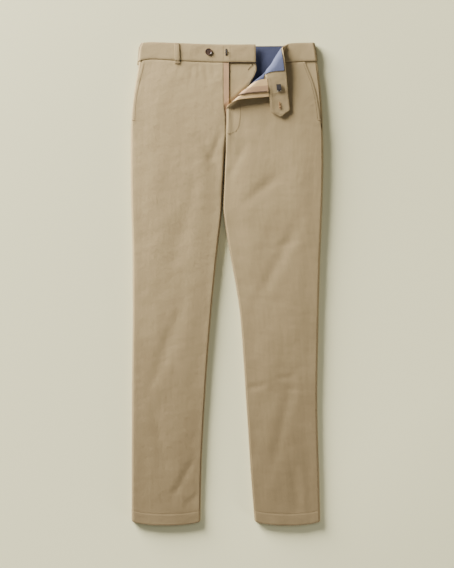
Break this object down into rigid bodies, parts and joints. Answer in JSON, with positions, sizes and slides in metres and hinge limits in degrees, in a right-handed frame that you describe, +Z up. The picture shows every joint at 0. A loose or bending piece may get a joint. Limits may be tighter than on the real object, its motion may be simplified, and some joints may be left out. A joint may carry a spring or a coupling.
{
  "type": "chino trousers",
  "caption": "Slim chino trousers laid flat, front up, with the fly undone and the wearer's left corner of the waist turned back.",
  "frame": {"origin": "centre of the outline, on the surface that the back of the trousers lies on", "axes": "+Y towards the waist, +X towards the wearer's left, +Z up off the surface"},
  "size_m": [0.4246, 1.0629, 0.0371],
  "materials": {
    "twill": "khaki stretch cotton twill, soft and matt",
    "facing": "the same twill's inner side, a little warmer",
    "lining": "blue chambray lining",
    "zip_tape": "tan woven zip tape",
    "horn": "dark brown horn-like button",
    "bronze": "dark bronze plated steel"
  },
  "bodies": {
    "root": {"front_right": "twill", "front_left": "twill", "back_right": "twill", "back_left": "twill", "waistband_right": "twill", "waistband_left": "twill", "pocket_facing_right": "twill", "pocket_facing_left": "twill", "belt_loop_front_right": "twill", "belt_loop_front_left": "twill", "belt_loop_side_right": "twill", "belt_loop_back": "twill", "belt_loop_side_left": "twill", "fly_shield": "twill", "fly_facing": "facing", "tab_facing": "facing", "curtain_back": "lining", "curtain_left": "lining", "pocket_bag_left": "lining", "pocketing_left": "lining", "zip_tape_right": "zip_tape", "zip_tape_left": "zip_tape", "button": "horn", "hook_bar": "bronze", "hook": "bronze"}
  },
  "joints": []
}
